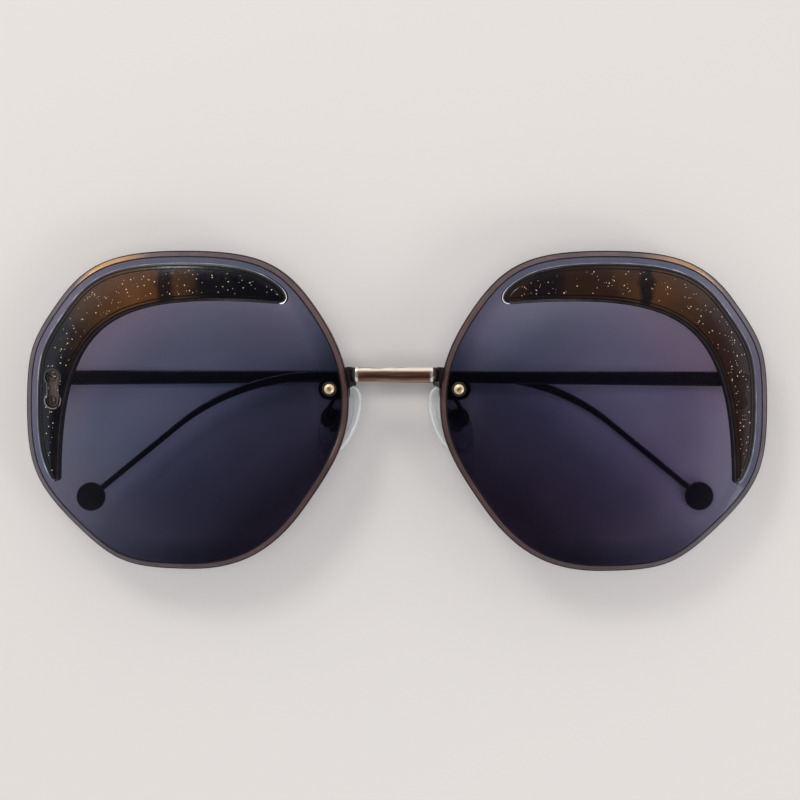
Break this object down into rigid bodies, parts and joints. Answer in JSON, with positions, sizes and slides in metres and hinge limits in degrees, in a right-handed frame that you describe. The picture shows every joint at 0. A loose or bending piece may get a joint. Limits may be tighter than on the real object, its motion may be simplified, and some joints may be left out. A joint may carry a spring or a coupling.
{
  "type": "rimless sunglasses",
  "caption": "Rimless folding sunglasses with large soft-cornered tinted lenses, glitter crescent inlays, a slim metal bridge, nose pads on wire arms and flat temples with round tips.",
  "frame": {"origin": "middle of the folded glasses' box, on the surface that they lie on", "axes": "+X across the face, +Y up the face, +Z out of the lenses' front; the temples are folded behind the lenses, with the left one's outer face at Z = 0"},
  "size_m": [0.1432, 0.0614, 0.017],
  "materials": {
    "lens_tint": "transparent grey-violet tint, hard coated",
    "glitter_acetate": "polished dark brown acetate with glitter",
    "polished_gunmetal": "polished gunmetal plating",
    "dark_gunmetal": "dark satin plating",
    "pale_gold": "polished pale gold plating",
    "dark_bushing": "dark moulded plastic",
    "clear_silicone": "clear, glossy and soft",
    "pad_core": "stiff clear plastic insert",
    "black_tip": "smooth black"
  },
  "bodies": {
    "front": {"bridge_bar": "polished_gunmetal", "lens_left": "lens_tint", "inlay_left": "glitter_acetate", "bridge_lug_left": "dark_gunmetal", "bridge_screw_left": "pale_gold", "bridge_bushing_left": "dark_bushing", "bridge_nut_left": "dark_gunmetal", "pad_arm_left": "dark_gunmetal", "pad_box_left": "dark_gunmetal", "pad_screw_left": "dark_gunmetal", "endpiece_left": "dark_gunmetal", "endpiece_screw_upper_left": "dark_gunmetal", "endpiece_screw_lower_left": "dark_gunmetal", "hinge_screw_left": "dark_gunmetal", "lens_right": "lens_tint", "inlay_right": "glitter_acetate", "bridge_lug_right": "dark_gunmetal", "bridge_screw_right": "pale_gold", "bridge_bushing_right": "dark_bushing", "bridge_nut_right": "dark_gunmetal", "pad_arm_right": "dark_gunmetal", "pad_box_right": "dark_gunmetal", "pad_screw_right": "dark_gunmetal", "endpiece_right": "dark_gunmetal", "endpiece_screw_upper_right": "dark_gunmetal", "endpiece_screw_lower_right": "dark_gunmetal", "hinge_screw_right": "dark_gunmetal"},
    "left_temple": {"temple_left": "dark_gunmetal", "temple_tip_left": "black_tip", "temple_hinge_left": "dark_gunmetal"},
    "right_temple": {"temple_right": "dark_gunmetal", "temple_tip_right": "black_tip", "temple_hinge_right": "dark_gunmetal"},
    "left_pad": {"nose_pad_left": "clear_silicone", "pad_core_left": "pad_core"},
    "right_pad": {"nose_pad_right": "clear_silicone", "pad_core_right": "pad_core"}
  },
  "joints": [
    {"name": "left_temple_hinge", "type": "hinge", "parent": "front", "child": "left_temple", "pos_m": [-0.06706, 0.0058, 0.0025], "axis": [0, 1, 0], "range_deg": [0, 90]},
    {"name": "right_temple_hinge", "type": "hinge", "parent": "front", "child": "right_temple", "pos_m": [0.06706, 0.0058, 0.0025], "axis": [0, -1, 0], "range_deg": [0, 92.42]},
    {"name": "left_pad_rock", "type": "hinge", "parent": "front", "child": "left_pad", "pos_m": [-0.01204, -0.00162, 0.01046], "axis": [-0.7116, 0.3626, -0.6018], "range_deg": [-8, 8]},
    {"name": "right_pad_rock", "type": "hinge", "parent": "front", "child": "right_pad", "pos_m": [0.01204, -0.00162, 0.01046], "axis": [0.7116, 0.3626, -0.6018], "range_deg": [-8, 8]}
  ]
}
